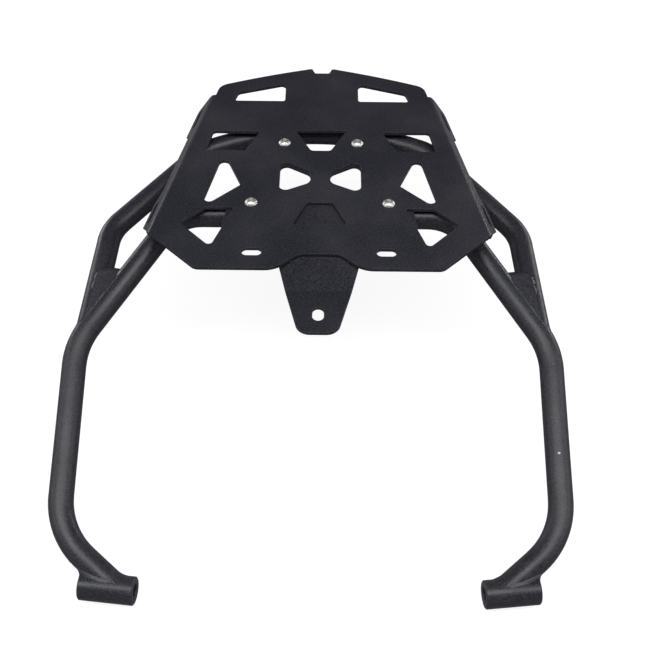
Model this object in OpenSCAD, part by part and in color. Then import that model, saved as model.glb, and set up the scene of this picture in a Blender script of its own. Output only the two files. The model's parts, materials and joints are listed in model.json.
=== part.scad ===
// Motorcycle luggage rack: a folded deck plate screwed to a base plate on a welded tube frame.
// Millimetres. +Z is up, +Y points to the tail of the bike and -Y to its seat.
// The origin is on the deck's top face, in the middle of the four screws.

/* [Sheet metal] */
// Thickness of the deck and of the base plate
sheet_t = 3; // [2:0.5:4]
// Inside radius of every fold
fold_r = 3; // [2:0.5:4]

/* [Deck outline] */
// Distance from the origin to the straight front edge
deck_front = 116; // [114:1:120]
// Half width of the straight front edge
deck_front_half = 96.8; // [94:0.2:102]
// Distance from the origin forward to where the side folds end
side_near = 77.2; // [74:0.2:80]
// Half width of the deck there, fold line to middle
side_half = 137; // [134:0.5:142]
// Angle by which each side fold leans in towards the tail
side_lean = 11; // [10:0.5:12]
// Distance from the origin back to the tail edge beside its notch
deck_back = 153.3; // [151:0.1:158]
// Drop of the tail edge from the notch to the outer corners
tail_drop = 28.4; // [25:0.2:30]
// Half width of the notch in the tail edge
notch_half = 9.6; // [8:0.2:12]
// Depth of the notch in the tail edge
notch_depth = 7.5; // [5:0.5:10]
// Half width of the recess in the front edge, at its mouth
recess_half = 34.5; // [32:0.5:37]
// Depth of the recess in the front edge
recess_depth = 15.8; // [12:0.2:18]

/* [Side flanges] */
// Angle by which the sides are folded down
flange_angle = 50; // [40:1:60]
// Depth of the two lobes of each flange, along the sheet
lobe_depth = 19; // [17:0.5:22]
// Depth of the lip between the lobes
lip_depth = 13; // [11:0.5:15]
// Length of each lashing slot
lash_slot_l = 27; // [24:0.5:30]
// Width of each lashing slot
lash_slot_w = 5; // [4:0.5:6]

/* [Screws] */
// Spacing of the two near screws, across the bike
near_screw_gap = 113.4; // [110:0.2:116]
// Spacing of the two far screws, across the bike
far_screw_gap = 63.6; // [60:0.2:66]
// Distance between the near and the far screws, along the bike
screw_row_gap = 79.4; // [76:0.2:82]
// Shank diameter of the screws
screw_d = 6; // [5:0.5:6]
// Head diameter of the screws
screw_head_d = 10.5; // [9.5:0.1:11.5]
// Head height of the screws
screw_head_h = 3.3; // [2.8:0.1:3.8]
// Width of the hexagon socket across its flats
socket_af = 4; // [3:0.1:4.2]
// Length of the near screws under the head
near_screw_l = 20; // [18:1:22]
// Length of the far screws under the head
far_screw_l = 16; // [15:1:20]

/* [Base plate] */
// Half width of the tongue where it is folded down
tongue_root_half = 33.8; // [31:0.2:36]
// Half width of the tongue at its tip, corners not counted
tongue_tip_half = 14.7; // [13.4:0.1:17]
// Distance from the origin forward to the tongue's fold
tongue_fold = 98; // [96:0.5:100]
// Distance from the origin forward to the tongue's tip
tongue_tip = 173.6; // [170:0.2:180]
// Slope of the tongue between its two folds
tongue_slope = 12; // [8:1:16]
// Length of the sloping stretch of the tongue
tongue_run = 32; // [28:0.5:34]
// Width of the slotted hole in the tongue
tongue_slot_w = 8.8; // [8:0.1:11]
// Length of the slotted hole in the tongue
tongue_slot_l = 14; // [12:0.5:17]
// Distance from the tongue's tip to the middle of its slotted hole
tongue_slot_back = 18.8; // [17:0.2:22]

/* [Front slots] */
// Distance of each front slot from the middle
front_slot_x = 53.1; // [50:0.1:58]
// Distance from the origin forward to the front slots
front_slot_y = 98; // [96:0.5:101]
// Length of each front slot, across the bike
front_slot_l = 16; // [14:0.5:18]
// Width of each front slot
front_slot_w = 8.5; // [6.5:0.1:9]

/* [Tubes] */
// Outer diameter of the tubes
tube_od = 19.05; // [18:0.05:20]
// Wall thickness of the tubes
tube_wall = 2; // [1.5:0.1:2.5]
// Radius of the tighter tube bends near the deck, to the middle of the tube
bend_r = 38; // [34:1:40]
// Radius of the wider tube bends along the arms
arm_bend_r = 60; // [50:1:64]
// Gap left for the weld where a tube is cut to fit round another
weld_gap = 0.1; // [0.05:0.05:0.2]
// Distance by which the tubes sit to the left of the deck's middle
tube_shift = 4; // [0:0.5:6]

/* [Main hoop] */
// Distance from the deck's side fold inwards to the corner of the shoulder bend
shoulder_in = 21.5; // [19:0.1:24]
// Distance from the deck's side fold outwards to the upper elbows
elbow_out = 51.8; // [49:0.1:55]
// Distance from the crossing forward to the upper elbows
elbow_run = 105.5; // [103:0.1:108]
// Distance from the crossing forward to the lower elbows
knee_run = 242.8; // [236:0.1:248]
// Distance from the crossing forward to the sleeves
sleeve_run = 280.6; // [277:0.1:286]
// Distance from the deck's side fold outwards to where the tube's axis meets the sleeve's
foot_out = 3.1; // [0:0.1:6]
// Slope of the main hoop, down to the front
hoop_tilt = 22.3; // [20:0.1:24]

/* [Rear hoop] */
// Distance from the origin back to the rear hoop's crossing
rear_back = 73.4; // [71:0.2:75]
// Radius of the long curve of the rear crossing
rear_curve_r = 232; // [200:1:260]
// Distance from the deck's side fold inwards to the first bend of the rear hoop
rear_bend_in = 36.2; // [33:0.2:39]
// Distance from the deck's side fold outwards to the rear hoop's elbows
rear_elbow_out = 36.6; // [34:0.2:39]
// Distance from the origin forward to the rear hoop's elbows
rear_elbow_y = 36.6; // [33:0.2:40]
// Distance from the deck's side fold outwards to where the rear hoop runs into the main hoop
join_out = 43.6; // [41:0.2:45]

/* [Sleeves] */
// Outer diameter of the mounting sleeves
sleeve_od = 21; // [19.5:0.1:23]
// Bore of the mounting sleeves
sleeve_bore = 10.5; // [8:0.1:12]
// Length of the mounting sleeves
sleeve_l = 41; // [39:0.5:45]
// Angle by which the sleeves are turned in plan
sleeve_turn = 6; // [3:0.5:9]
// Distance from the tube's axis outwards to the sleeve's middle
sleeve_offset = 8; // [6:0.5:9.5]

/* [Hidden] */
$fn = 72;
cut = 0.5;
arc_steps = 8;
bend_swell = 0.1;
bend_overlap = 0.4;
fold_overlap = 3;
flat_overlap = 8;
curve_lead = 14.4;
chamfer = 0.8;
wide_curve_facets = 240;
least_edge = 0.001;

// Heights of the faces that the pieces sit on
base_top = -sheet_t;
base_bottom = -2 * sheet_t;
finger_short = 2.5;
tube_z = base_bottom - tube_od / 2;

// Screws, bosses and nuts
near_y = -screw_row_gap / 2;
far_y = screw_row_gap / 2;
clearance_d = screw_d + 0.6;
thread_play = 0.1;
boss_d = 2 * screw_d;
nut_af = 10;
nut_h = 5;
socket_depth = 2;
head_top_cut = 0.3;
head_sphere_r = (pow(screw_head_d / 2, 2) + pow(screw_head_h, 2)) / (2 * screw_head_h);

// Side folds: how far the flat sheet stops short of the fold line, and places along the fold
fold_outer = fold_r + sheet_t;
flange_setback = fold_outer * tan(flange_angle / 2);
flange_far = 191;
near_lobe_start = 18;
near_lobe_end = 46;
lip_start = 62;
far_lobe_start = 138.5;
far_lobe_end = 181;
near_slot_mid = 32.5;
far_slot_mid = 162.5;
lash_slot_drop = 0.6 * lobe_depth;
chamfer_turn = 34;
chamfer_reach = 12;

// Room under the deck that the tongue's cuts go down through
tongue_room = tongue_run * sin(tongue_slope) + 4 * sheet_t;

// Outline points of the deck, worked out from the sizes above
function fold_x(y) = side_half - tan(side_lean) * (y + side_near);
flat_inset = flange_setback / cos(side_lean);
tail_corner_y = deck_back - tail_drop;
tail_corner_x = fold_x(tail_corner_y) - flat_inset;
tail_mid_x = 0.55 * tail_corner_x;
tail_mid_y = deck_back - 0.42 * tail_drop;
chamfer_x = side_half - flat_inset;
chamfer_y = -side_near - flange_setback * (sin(side_lean) + tan(chamfer_turn) * cos(side_lean));

// The hoops follow the deck's width: half widths at their corners, and at the join
shoulder_x = side_half - shoulder_in;
elbow_x = side_half + elbow_out;
foot_x = side_half + foot_out;
rear_bend_x = side_half - rear_bend_in;
rear_elbow_x = side_half + rear_elbow_out;
join_x = side_half + join_out;

// Centre lines of the tubes, each in the plane of its hoop: x across, y up the slope from the crossing
function up_slope(run, tilt) = -run / cos(tilt);
join_run = elbow_run * (join_x - shoulder_x) / (elbow_x - shoulder_x);
join_y = near_y - join_run;
rear_tilt = atan(join_run * tan(hoop_tilt) / (rear_back - join_y));
// The long curve ends at curve_angle, then a short straight leads to the first bend's corner
curve_angle = asin(rear_bend_x / norm([rear_curve_r, curve_lead])) - atan(curve_lead / rear_curve_r);
rear_bend_drop = rear_curve_r * (1 - cos(curve_angle)) + curve_lead * sin(curve_angle);
rear_apex = rear_bend_x * tan(curve_angle) - rear_bend_drop;
main_half = [
    [foot_x, up_slope(sleeve_run, hoop_tilt)],
    [elbow_x, up_slope(knee_run, hoop_tilt)],
    [elbow_x, up_slope(elbow_run, hoop_tilt)],
    [shoulder_x, 0]
];
rear_half = [
    [join_x, up_slope(rear_back - join_y, rear_tilt)],
    [rear_elbow_x, up_slope(rear_back + rear_elbow_y, rear_tilt)],
    [rear_bend_x, -rear_bend_drop]
];
main_path = concat(main_half, mirrored(main_half));
rear_path = concat(rear_half, [[0, rear_apex]], mirrored(rear_half));
main_bends = [arm_bend_r, arm_bend_r, bend_r, bend_r, arm_bend_r, arm_bend_r];
rear_bends = [bend_r, bend_r, rear_curve_r, bend_r, bend_r];

// Windows of the deck, right-hand side: each corner is [x, y, corner radius]
// Corners near a side fold keep their distance from its line
function from_side(inset) = side_half - inset;
tail_window = [[33.6, 101.2, 2], [from_side(56.2), 101.2, 3], [from_side(60), 114.4, 4], [33.6, 128.8, 4]];
side_window = [[65.9, 28.6, 1.5], [from_side(36.6), 28.9, 2], [from_side(41.4), 55.9, 3.5], [53.8, 55.7, 1.5]];
spear_window = [[from_side(70.5), -17.3, 1.2], [from_side(38.4), -47.7, 4.5], [from_side(52.9), 26.3, 4.7]];
kite_window = [
    [from_side(50.7), -92.8, 3.5],
    [from_side(23.8), -65, 2],
    [from_side(43.2), -46, 2],
    [from_side(66.7), -46, 1.5]
];
eye_window = [[34.5, -27, 5.5], [34.5, 16.5, 5.5], [8.4, 0.8, 7], [8.4, -13.8, 7]];
crest_window = [[8.5, 28.9, 4], [23, 57.9, 1.5], [-23, 57.9, 1.5], [-8.5, 28.9, 4]];
apron_window = [[22.4, -66, 2], [10.6, -39.4, 2], [-10.6, -39.4, 2], [-22.4, -66, 2]];

// Right half of the base plate behind the tongue's fold, seen from above
finger_tip_y = rear_back - finger_short;
base_half = [
    [tongue_root_half, -tongue_fold, 0],
    [39.5, -76, 14],
    [80, -66, 5],
    [75.5, near_y + 3.5, 7],
    [62.5, -20, 8],
    [62, 27, 8],
    [49, 58, 8],
    [46, finger_tip_y, 4],
    [29, finger_tip_y, 4],
    [26, 57.5, 6],
    [11.5, 25.5, 5]
];

// Right half of the deck's flat sheet, seen from above
deck_half = [
    [notch_half - 3, deck_back - notch_depth, 1.5],
    [notch_half, deck_back, 2],
    [tail_mid_x, tail_mid_y, 700],
    [tail_corner_x, tail_corner_y, 13],
    [chamfer_x, chamfer_y, 0],
    [deck_front_half, -deck_front, 9],
    [recess_half, -deck_front, 22],
    [recess_half - 18.1, recess_depth - deck_front, 16]
];

// Rounded outlines

function unit(v) = v / norm(v);
function xy(p) = [p.x, p.y];
function flip(p) = len(p) == 2 ? [-p.x, p.y] : [-p.x, p.y, p.z];
function reversed(points) = [for (i = [len(points) - 1:-1:0]) points[i]];
function mirrored(points) = [for (p = reversed(points)) flip(p)];
function turn(u, w) = atan2(u.x * w.y - u.y * w.x, u * w);

function at(points, i) = points[(i + len(points)) % len(points)];
function edge(points, i) = xy(at(points, i + 1)) - xy(at(points, i));

// Length that the rounding of corner i takes from each edge beside it
function taken(points, i) = at(points, i).z * tan(abs(turn(edge(points, i - 1), edge(points, i))) / 2);

// Share of their radii that the roundings at both ends of edge i keep, so that the edge is long enough
function share(points, i) =
    min(1, norm(edge(points, i)) / (taken(points, i) + taken(points, i + 1) + least_edge));

// Points of one corner with its rounding
function corner(points, i) =
    let (
        q = at(points, i),
        r = q.z * min(share(points, i - 1), share(points, i)),
        u = unit(edge(points, i - 1)),
        angle = turn(u, unit(edge(points, i))),
        side = angle > 0 ? 1 : -1,
        start = xy(q) - u * r * tan(abs(angle) / 2),
        middle = start + side * r * [-u.y, u.x]
    )
    r == 0
    ? [xy(q)]
    : [for (k = [0:arc_steps])
        let (a = angle * k / arc_steps, v = start - middle)
        middle + [v.x * cos(a) - v.y * sin(a), v.x * sin(a) + v.y * cos(a)]];

function rounded(points) = [for (i = [0:len(points) - 1]) each corner(points, i)];

module prism(points, bottom, top) {
    translate([0, 0, bottom])
        linear_extrude(top - bottom)
            polygon(rounded(points));
}

// A round-ended slot along x, cut down through z = 0
module slot(length, width, depth) {
    straight = length - width;
    for (end = [-0.5, 0.5])
        translate([end * straight, 0, -depth - cut])
            cylinder(d = width, h = depth + 2 * cut);
    translate([-straight / 2, -width / 2, -depth - cut])
        cube([straight, width, depth + 2 * cut]);
}

// Folded sheet: it lies under z = 0 and runs along -y, and each step is [angle down, length after]

function normal(angle) = [-sin(angle), cos(angle)];
function forward(angle) = [-cos(angle), -sin(angle)];
function fold_centre_r(angle) = angle > 0 ? fold_outer : -fold_r;

// Points of one face of the folded sheet, 0 for its top and 1 for its bottom
function sheet_side(steps, side, from = [0, 0], angle = 0, k = 0) =
    k == len(steps)
    ? []
    : let (
        turn = steps[k][0],
        r = fold_centre_r(turn),
        middle = from - r * normal(angle),
        after = angle + turn,
        to = middle + r * normal(after) + steps[k][1] * forward(after),
        arc = [for (i = [0:arc_steps])
            middle + (r - side * sheet_t) * normal(angle + turn * i / arc_steps)]
    )
    concat(arc, [to - side * sheet_t * normal(after)], sheet_side(steps, side, to, after, k + 1));

// A folded strip, the given width along x, with its flat start reaching back over y = before
module folded_strip(steps, before, width) {
    rotate([90, 0, 90])
        linear_extrude(width)
            polygon(concat(
                [[before, 0]],
                sheet_side(steps, 0),
                reversed(sheet_side(steps, 1)),
                [[before, -sheet_t]]
            ));
}

// Puts its children where the first fold ends
module after_fold(angle) {
    r = fold_centre_r(angle);
    translate([0, -r * sin(angle), -r * (1 - cos(angle))])
        rotate([angle, 0, 0])
            children();
}

// Round bars between points of a plane: bends swell slightly, so the straights run a little into them

function heading(a, b) = atan2(b.y - a.y, b.x - a.x);
function bend_angle(p, q, s) = (heading(q, s) - heading(p, q) + 360) % 360;
function tangent_l(p, q, s, r) = r * tan(bend_angle(p, q, s) / 2);

module straight(a, b, d) {
    translate(a - unit(b - a) * bend_overlap)
        rotate([0, 90, heading(a, b)])
            cylinder(d = d, h = norm(b - a) + 2 * bend_overlap);
}

// One bend to the left at corner q, from the straight p-q to the straight q-s
module elbow(p, q, s, r, d) {
    way = heading(p, q);
    translate(q - unit(q - p) * tangent_l(p, q, s, r) + r * [-sin(way), cos(way)])
        rotate([0, 0, way - 90])
            rotate_extrude(angle = bend_angle(p, q, s), $fn = r > 2 * bend_r ? wide_curve_facets : $fn)
                translate([r, 0])
                    circle(d = d + bend_swell);
}

// A round bar along a path of corners, each rounded by its own bend radius
module bent_rod(path, bends, d, extra = 0) {
    last = len(path) - 1;
    trim = [for (i = [0:last])
        i == 0 || i == last ? -extra : tangent_l(path[i - 1], path[i], path[i + 1], bends[i - 1])];
    for (i = [0:last - 1]) {
        way = unit(path[i + 1] - path[i]);
        straight(path[i] + way * trim[i], path[i + 1] - way * trim[i + 1], d);
    }
    for (i = [1:last - 1])
        elbow(path[i - 1], path[i], path[i + 1], bends[i - 1], d);
}

module bent_tube(path, bends) {
    difference() {
        bent_rod(path, bends, tube_od);
        bent_rod(path, bends, tube_od - 2 * tube_wall, cut);
    }
}

// Puts its children in the plane of a hoop that slopes down to the front
module hoop_plane(crossing_y, tilt) {
    translate([-tube_shift, crossing_y, tube_z])
        rotate([tilt, 0, 0])
            children();
}

// Sub-parts

// One side flange with its fold, on the right-hand fold line
module side_flange() {
    fold_end = flange_setback - fold_outer * sin(flange_angle);
    chamfer_end = -flange_setback * tan(chamfer_turn);
    slant = (flange_setback - chamfer_end) / (flange_setback - fold_end);
    translate([side_half, -side_near, 0])
        rotate([0, 0, 90 + side_lean]) {
            difference() {
                translate([chamfer_end, flange_setback, 0])
                    folded_strip([[flange_angle, fold_overlap]], flat_overlap, flange_far - chamfer_end);
                translate([0, 0, -chamfer_reach])
                    linear_extrude(chamfer_reach + cut)
                        polygon([
                            [chamfer_end - cut, flange_setback + cut],
                            [chamfer_end, flange_setback],
                            [chamfer_end + chamfer_reach * slant, flange_setback - chamfer_reach],
                            [chamfer_end - cut, flange_setback - chamfer_reach]
                        ]);
            }
            translate([0, flange_setback, 0])
                after_fold(flange_angle)
                    flange_sheet();
        }
}

// The flat of a side flange: y = 0 is where the fold ends
module flange_sheet() {
    lobe = flange_setback - lobe_depth;
    lip = flange_setback - lip_depth;
    difference() {
        prism([
            [flange_far, 0, 0],
            [flange_setback, 0, 0],
            [near_lobe_start, lobe, 3],
            [near_lobe_end, lobe, 12],
            [lip_start, lip, 12],
            [far_lobe_start, lip, 1.5],
            [far_lobe_start + 1, lobe, 4],
            [far_lobe_end, lobe, 8],
            [flange_far, -fold_overlap, 0]
        ], -sheet_t, 0);
        for (mid = [near_slot_mid, far_slot_mid])
            translate([mid, flange_setback - lash_slot_drop, 0])
                slot(lash_slot_l, lash_slot_w, sheet_t);
    }
}

module both_sides() {
    children();
    mirror([1, 0, 0])
        children();
}

module screw_holes(d) {
    for (side = [-0.5, 0.5]) {
        translate([side * near_screw_gap, near_y, base_bottom - cut])
            cylinder(d = d, h = 2 * sheet_t + 2 * cut);
        translate([side * far_screw_gap, far_y, base_bottom - cut])
            cylinder(d = d, h = 2 * sheet_t + 2 * cut);
    }
}

module deck_plate() {
    color("#303237") {
        difference() {
            prism(concat(deck_half, mirrored(deck_half)), -sheet_t, 0);
            both_sides()
                for (window = [tail_window, side_window, spear_window, kite_window, eye_window])
                    prism(window, -sheet_t - cut, cut);
            prism(crest_window, -sheet_t - cut, cut);
            prism(apron_window, -sheet_t - cut, cut);
            both_sides()
                translate([front_slot_x, -front_slot_y, 0])
                    slot(front_slot_l, front_slot_w, sheet_t);
            screw_holes(clearance_d);
        }
        both_sides()
            side_flange();
    }
}

// The folded strip that the tongue is cut from
module tongue_strip() {
    steps = [[tongue_slope, tongue_run], [-tongue_slope, tongue_tip - tongue_fold]];
    translate([-tongue_root_half, -tongue_fold, base_top])
        folded_strip(steps, flat_overlap, 2 * tongue_root_half);
}

module base_plate() {
    color("#2b2d32")
        difference() {
            union() {
                prism(concat(base_half, mirrored(base_half)), base_bottom, base_top);
                intersection() {
                    tongue_strip();
                    prism([
                        [tongue_root_half, flat_overlap - tongue_fold, 0],
                        [-tongue_root_half, flat_overlap - tongue_fold, 0],
                        [-tongue_root_half, -tongue_fold, 0],
                        [-tongue_tip_half, -tongue_tip, 11],
                        [tongue_tip_half, -tongue_tip, 11],
                        [tongue_root_half, -tongue_fold, 0]
                    ], -tongue_room, 0);
                }
            }
            both_sides()
                prism(eye_window, base_bottom - cut, base_top + cut);
            screw_holes(clearance_d);
            translate([0, tongue_slot_back - tongue_tip, 0])
                rotate([0, 0, 90])
                    slot(tongue_slot_l, tongue_slot_w, tongue_room);
        }
}

// Where a tube's axis reaches its sleeve, and the sleeve's middle, on the left (-1) or right (1)
function foot(side) = [side * foot_x - tube_shift, near_y - sleeve_run, tube_z - sleeve_run * tan(hoop_tilt)];
function sleeve_middle(side) = foot(side) + sleeve_offset * [side * cos(sleeve_turn), sin(sleeve_turn), 0];

// Puts its children, which stand along z, along the axis of one sleeve
module along_sleeve(side) {
    translate(sleeve_middle(side))
        rotate([0, 90, side * sleeve_turn])
            children();
}

// A turned sleeve with its bore and both its outer edges chamfered
module sleeve(side) {
    half = sleeve_l / 2;
    bore_r = sleeve_bore / 2;
    outer_r = sleeve_od / 2;
    color("#2e3036")
        along_sleeve(side)
            rotate_extrude()
                polygon([
                    [bore_r, chamfer - half],
                    [bore_r + chamfer, -half],
                    [outer_r - chamfer, -half],
                    [outer_r, chamfer - half],
                    [outer_r, half - chamfer],
                    [outer_r - chamfer, half],
                    [bore_r + chamfer, half],
                    [bore_r, half - chamfer]
                ]);
}

module left_sleeve() {
    sleeve(-1);
}

module right_sleeve() {
    sleeve(1);
}

module main_hoop() {
    color("#34363c")
        difference() {
            hoop_plane(near_y, hoop_tilt)
                bent_tube(main_path, main_bends);
            for (side = [-1, 1]) {
                along_sleeve(side)
                    cylinder(d = sleeve_od + 2 * weld_gap, h = 2 * sleeve_l, center = true);
                translate([side * near_screw_gap / 2, near_y, tube_z - tube_od])
                    cylinder(d = boss_d + 2 * weld_gap, h = 2 * tube_od);
            }
        }
}

// Stands for the straight of the main hoop that one end of the rear hoop is cut to fit
module join_rod(side) {
    from = [side * shoulder_x, 0];
    to = [side * elbow_x, up_slope(elbow_run, hoop_tilt)];
    hoop_plane(near_y, hoop_tilt)
        straight(from, to, tube_od + 2 * weld_gap);
}

module rear_hoop() {
    color("#34363c")
        difference() {
            hoop_plane(rear_back, rear_tilt)
                bent_tube(rear_path, rear_bends);
            join_rod(-1);
            join_rod(1);
        }
}

// A turned boss through the main hoop, threaded for a near screw
module boss(side) {
    color("#8d9096")
        translate([side * near_screw_gap / 2, near_y, base_bottom - tube_od])
            difference() {
                cylinder(d = boss_d, h = tube_od);
                translate([0, 0, -cut])
                    cylinder(d = screw_d + thread_play, h = tube_od + 2 * cut);
            }
}

module near_left_boss() {
    boss(-1);
}

module near_right_boss() {
    boss(1);
}

module weld_nut(side) {
    color("#8d9096")
        translate([side * far_screw_gap / 2, far_y, base_bottom - nut_h])
            difference() {
                cylinder(d = nut_af / cos(30), h = nut_h, $fn = 6);
                translate([0, 0, -cut])
                    cylinder(d = screw_d + thread_play, h = nut_h + 2 * cut);
            }
}

module far_left_weld_nut() {
    weld_nut(-1);
}

module far_right_weld_nut() {
    weld_nut(1);
}

// A button-head screw standing on z = 0
module screw(length) {
    color("#c9ccd0")
        difference() {
            union() {
                intersection() {
                    translate([0, 0, screw_head_h - head_sphere_r])
                        sphere(r = head_sphere_r);
                    cylinder(d = screw_head_d + cut, h = screw_head_h - head_top_cut);
                }
                translate([0, 0, -length])
                    cylinder(d = screw_d, h = length + cut);
            }
            translate([0, 0, screw_head_h - socket_depth])
                cylinder(d = socket_af / cos(30), h = screw_head_h, $fn = 6);
        }
}

module near_left_screw() {
    translate([-near_screw_gap / 2, near_y, 0])
        screw(near_screw_l);
}

module near_right_screw() {
    translate([near_screw_gap / 2, near_y, 0])
        screw(near_screw_l);
}

module far_left_screw() {
    translate([-far_screw_gap / 2, far_y, 0])
        screw(far_screw_l);
}

module far_right_screw() {
    translate([far_screw_gap / 2, far_y, 0])
        screw(far_screw_l);
}

deck_plate();
base_plate();
main_hoop();
rear_hoop();
left_sleeve();
right_sleeve();
near_left_boss();
near_right_boss();
far_left_weld_nut();
far_right_weld_nut();
near_left_screw();
near_right_screw();
far_left_screw();
far_right_screw();
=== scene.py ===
# %% [markdown]
# # A motorcycle luggage rack
#
# The rack is sheet steel and bent tube under a satin black powder coat. This lesson dresses them:
# a camera at the photographed angle, soft studio light, the coat and the bright screws as
# materials, and the welds and screw threads that the solids leave out.

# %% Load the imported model
import json
import math

import bpy
import numpy as np
from mathutils import Matrix, Vector


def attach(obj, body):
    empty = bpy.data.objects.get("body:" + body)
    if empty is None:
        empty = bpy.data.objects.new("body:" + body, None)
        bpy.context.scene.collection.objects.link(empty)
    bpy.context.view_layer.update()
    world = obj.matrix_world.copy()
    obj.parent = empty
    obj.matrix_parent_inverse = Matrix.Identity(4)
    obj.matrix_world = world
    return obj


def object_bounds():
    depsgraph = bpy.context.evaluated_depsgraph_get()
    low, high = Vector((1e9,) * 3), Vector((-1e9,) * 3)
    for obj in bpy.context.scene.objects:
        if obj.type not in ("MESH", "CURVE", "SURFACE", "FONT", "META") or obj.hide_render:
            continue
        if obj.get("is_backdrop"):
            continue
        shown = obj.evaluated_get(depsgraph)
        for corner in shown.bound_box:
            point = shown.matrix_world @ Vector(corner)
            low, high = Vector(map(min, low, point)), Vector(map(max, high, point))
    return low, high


MM = 0.001
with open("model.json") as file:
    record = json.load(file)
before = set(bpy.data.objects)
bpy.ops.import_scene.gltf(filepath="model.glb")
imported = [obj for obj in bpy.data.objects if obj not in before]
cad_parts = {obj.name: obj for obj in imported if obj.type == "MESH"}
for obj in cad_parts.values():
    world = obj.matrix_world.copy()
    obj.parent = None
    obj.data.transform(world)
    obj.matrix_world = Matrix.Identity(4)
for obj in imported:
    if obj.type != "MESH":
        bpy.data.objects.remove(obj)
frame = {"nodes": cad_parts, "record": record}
cad_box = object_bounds()
nodes = frame["nodes"]
record = frame["record"]
print("nodes:", len(nodes))
print("overall size in mm:", [round((hi - lo) / MM, 1) for lo, hi in zip(*cad_box)])

# %% [markdown]
# ## The camera
#
# The picture was taken from the seat's side, looking down on the deck. Matching the deck's corners,
# the screws and the sleeves gives the view: 48 degrees down, with a lens of 55 mm on a full-frame
# sensor. A camera in Blender looks along its own -Z, so a turn of 90 minus 48 degrees about X tips
# it from straight down to that view, and a small roll levels the deck as photographed.

# %% Camera
IMAGE_WIDTH_PX = 650
FOCAL_PX = 1000
SENSOR_MM = 36
LOOK_DOWN_DEG = 48.0
YAW_DEG = 0.09
ROLL_DEG = 0.52
CAMERA_PLACE_MM = (6.1, -665.5, 544.8)

camera_data = bpy.data.cameras.new("camera")
camera_data.sensor_width = SENSOR_MM
camera_data.lens = FOCAL_PX * SENSOR_MM / IMAGE_WIDTH_PX
camera = bpy.data.objects.new("camera", camera_data)
bpy.context.collection.objects.link(camera)
yaw = Matrix.Rotation(math.radians(YAW_DEG), 4, "Z")
tip = Matrix.Rotation(math.radians(90 - LOOK_DOWN_DEG), 4, "X")
roll = Matrix.Rotation(math.radians(ROLL_DEG), 4, "Z")
camera.matrix_world = Matrix.Translation(Vector(CAMERA_PLACE_MM) * MM) @ yaw @ tip @ roll
bpy.context.scene.camera = camera
print("lens in mm:", round(camera_data.lens, 2))

# %% [markdown]
# ## Node trees in short
#
# The light, the finishes and the welds are all node trees, and a few short functions wire them. A
# value that is a socket is linked to the input, and any other value is set on it.


# %% Helpers for node trees
def new_group(name, kind, inputs, outputs):
    group = bpy.data.node_groups.new(name, kind)
    for title, socket, value in inputs:
        made = group.interface.new_socket(title, in_out="INPUT", socket_type=socket)
        if value is not None:
            made.default_value = value
    for title, socket in outputs:
        group.interface.new_socket(title, in_out="OUTPUT", socket_type=socket)
    return group, group.nodes.new("NodeGroupInput"), group.nodes.new("NodeGroupOutput")


def add_node(tree, kind, values=None, **settings):
    made = tree.nodes.new(kind)
    for key, value in settings.items():
        setattr(made, key, value)
    for key, value in (values or {}).items():
        if isinstance(value, bpy.types.NodeSocket):
            tree.links.new(value, made.inputs[key])
        else:
            made.inputs[key].default_value = value
    return made


def math_node(tree, operation, first, second=0.0, third=0.0, clamp=False):
    values = {0: first, 1: second, 2: third}
    return add_node(tree, "ShaderNodeMath", values, operation=operation, use_clamp=clamp).outputs[0]


def ranged(tree, value, low, high, to_low=0.0, to_high=1.0):
    values = {"Value": value, "From Min": low, "From Max": high}
    values.update({"To Min": to_low, "To Max": to_high})
    return add_node(tree, "ShaderNodeMapRange", values).outputs[0]


def noise(tree, place, scale, detail, roughness=0.5):
    values = {"Vector": place, "Scale": scale, "Detail": detail, "Roughness": roughness}
    return add_node(tree, "ShaderNodeTexNoise", values).outputs["Fac"]


print("helpers ready")

# %% [markdown]
# ## The studio
#
# A satin black coat shows little but what it reflects, so the light decides how the rack looks. The
# surroundings are dim, and a little brighter at the horizon. One wide, soft lamp above the camera
# draws a single highlight along the tubes, and keeps the deck and the slope of the tongue dark. A
# lamp on each side lights the folded flanges, and two low ones at the back lift the far rims. The
# floor and the backdrop are white to the camera alone, so that the undersides stay dark, and the
# floor keeps a faint shadow.

# %% Surroundings
HORIZON_LIGHT, HORIZON_BLUE = 0.4, 1.02
MIDDLE_LIGHT, MIDDLE_BLUE = 0.16, 1.12
OVERHEAD_LIGHT, OVERHEAD_BLUE = 0.1, 1.15
MIDDLE_HEIGHT, OVERHEAD_HEIGHT = 0.22, 0.55


def bluish(light, blue):
    return (light, light, light * blue, 1)


world = bpy.data.worlds.new("studio")
bpy.context.scene.world = world
world.use_nodes = True
tree = world.node_tree
tree.nodes.clear()
direction = add_node(tree, "ShaderNodeTexCoord").outputs["Generated"]
height = add_node(tree, "ShaderNodeSeparateXYZ", {0: direction}).outputs["Z"]
sky = add_node(tree, "ShaderNodeValToRGB", {"Fac": height})
sky.color_ramp.interpolation = "EASE"
stops = sky.color_ramp.elements
stops[0].position, stops[0].color = 0.0, bluish(HORIZON_LIGHT, HORIZON_BLUE)
stops[1].position, stops[1].color = OVERHEAD_HEIGHT, bluish(OVERHEAD_LIGHT, OVERHEAD_BLUE)
stops.new(MIDDLE_HEIGHT).color = bluish(MIDDLE_LIGHT, MIDDLE_BLUE)
dim = add_node(tree, "ShaderNodeBackground", {"Color": sky.outputs["Color"]}).outputs[0]
white = add_node(tree, "ShaderNodeBackground", {"Color": (1, 1, 1, 1)}).outputs[0]
seen = add_node(tree, "ShaderNodeLightPath").outputs["Is Camera Ray"]
chosen = add_node(tree, "ShaderNodeMixShader", {0: seen, 1: dim, 2: white}).outputs[0]
add_node(tree, "ShaderNodeOutputWorld", {"Surface": chosen})
print("stops of the surroundings:", len(stops))

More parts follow.
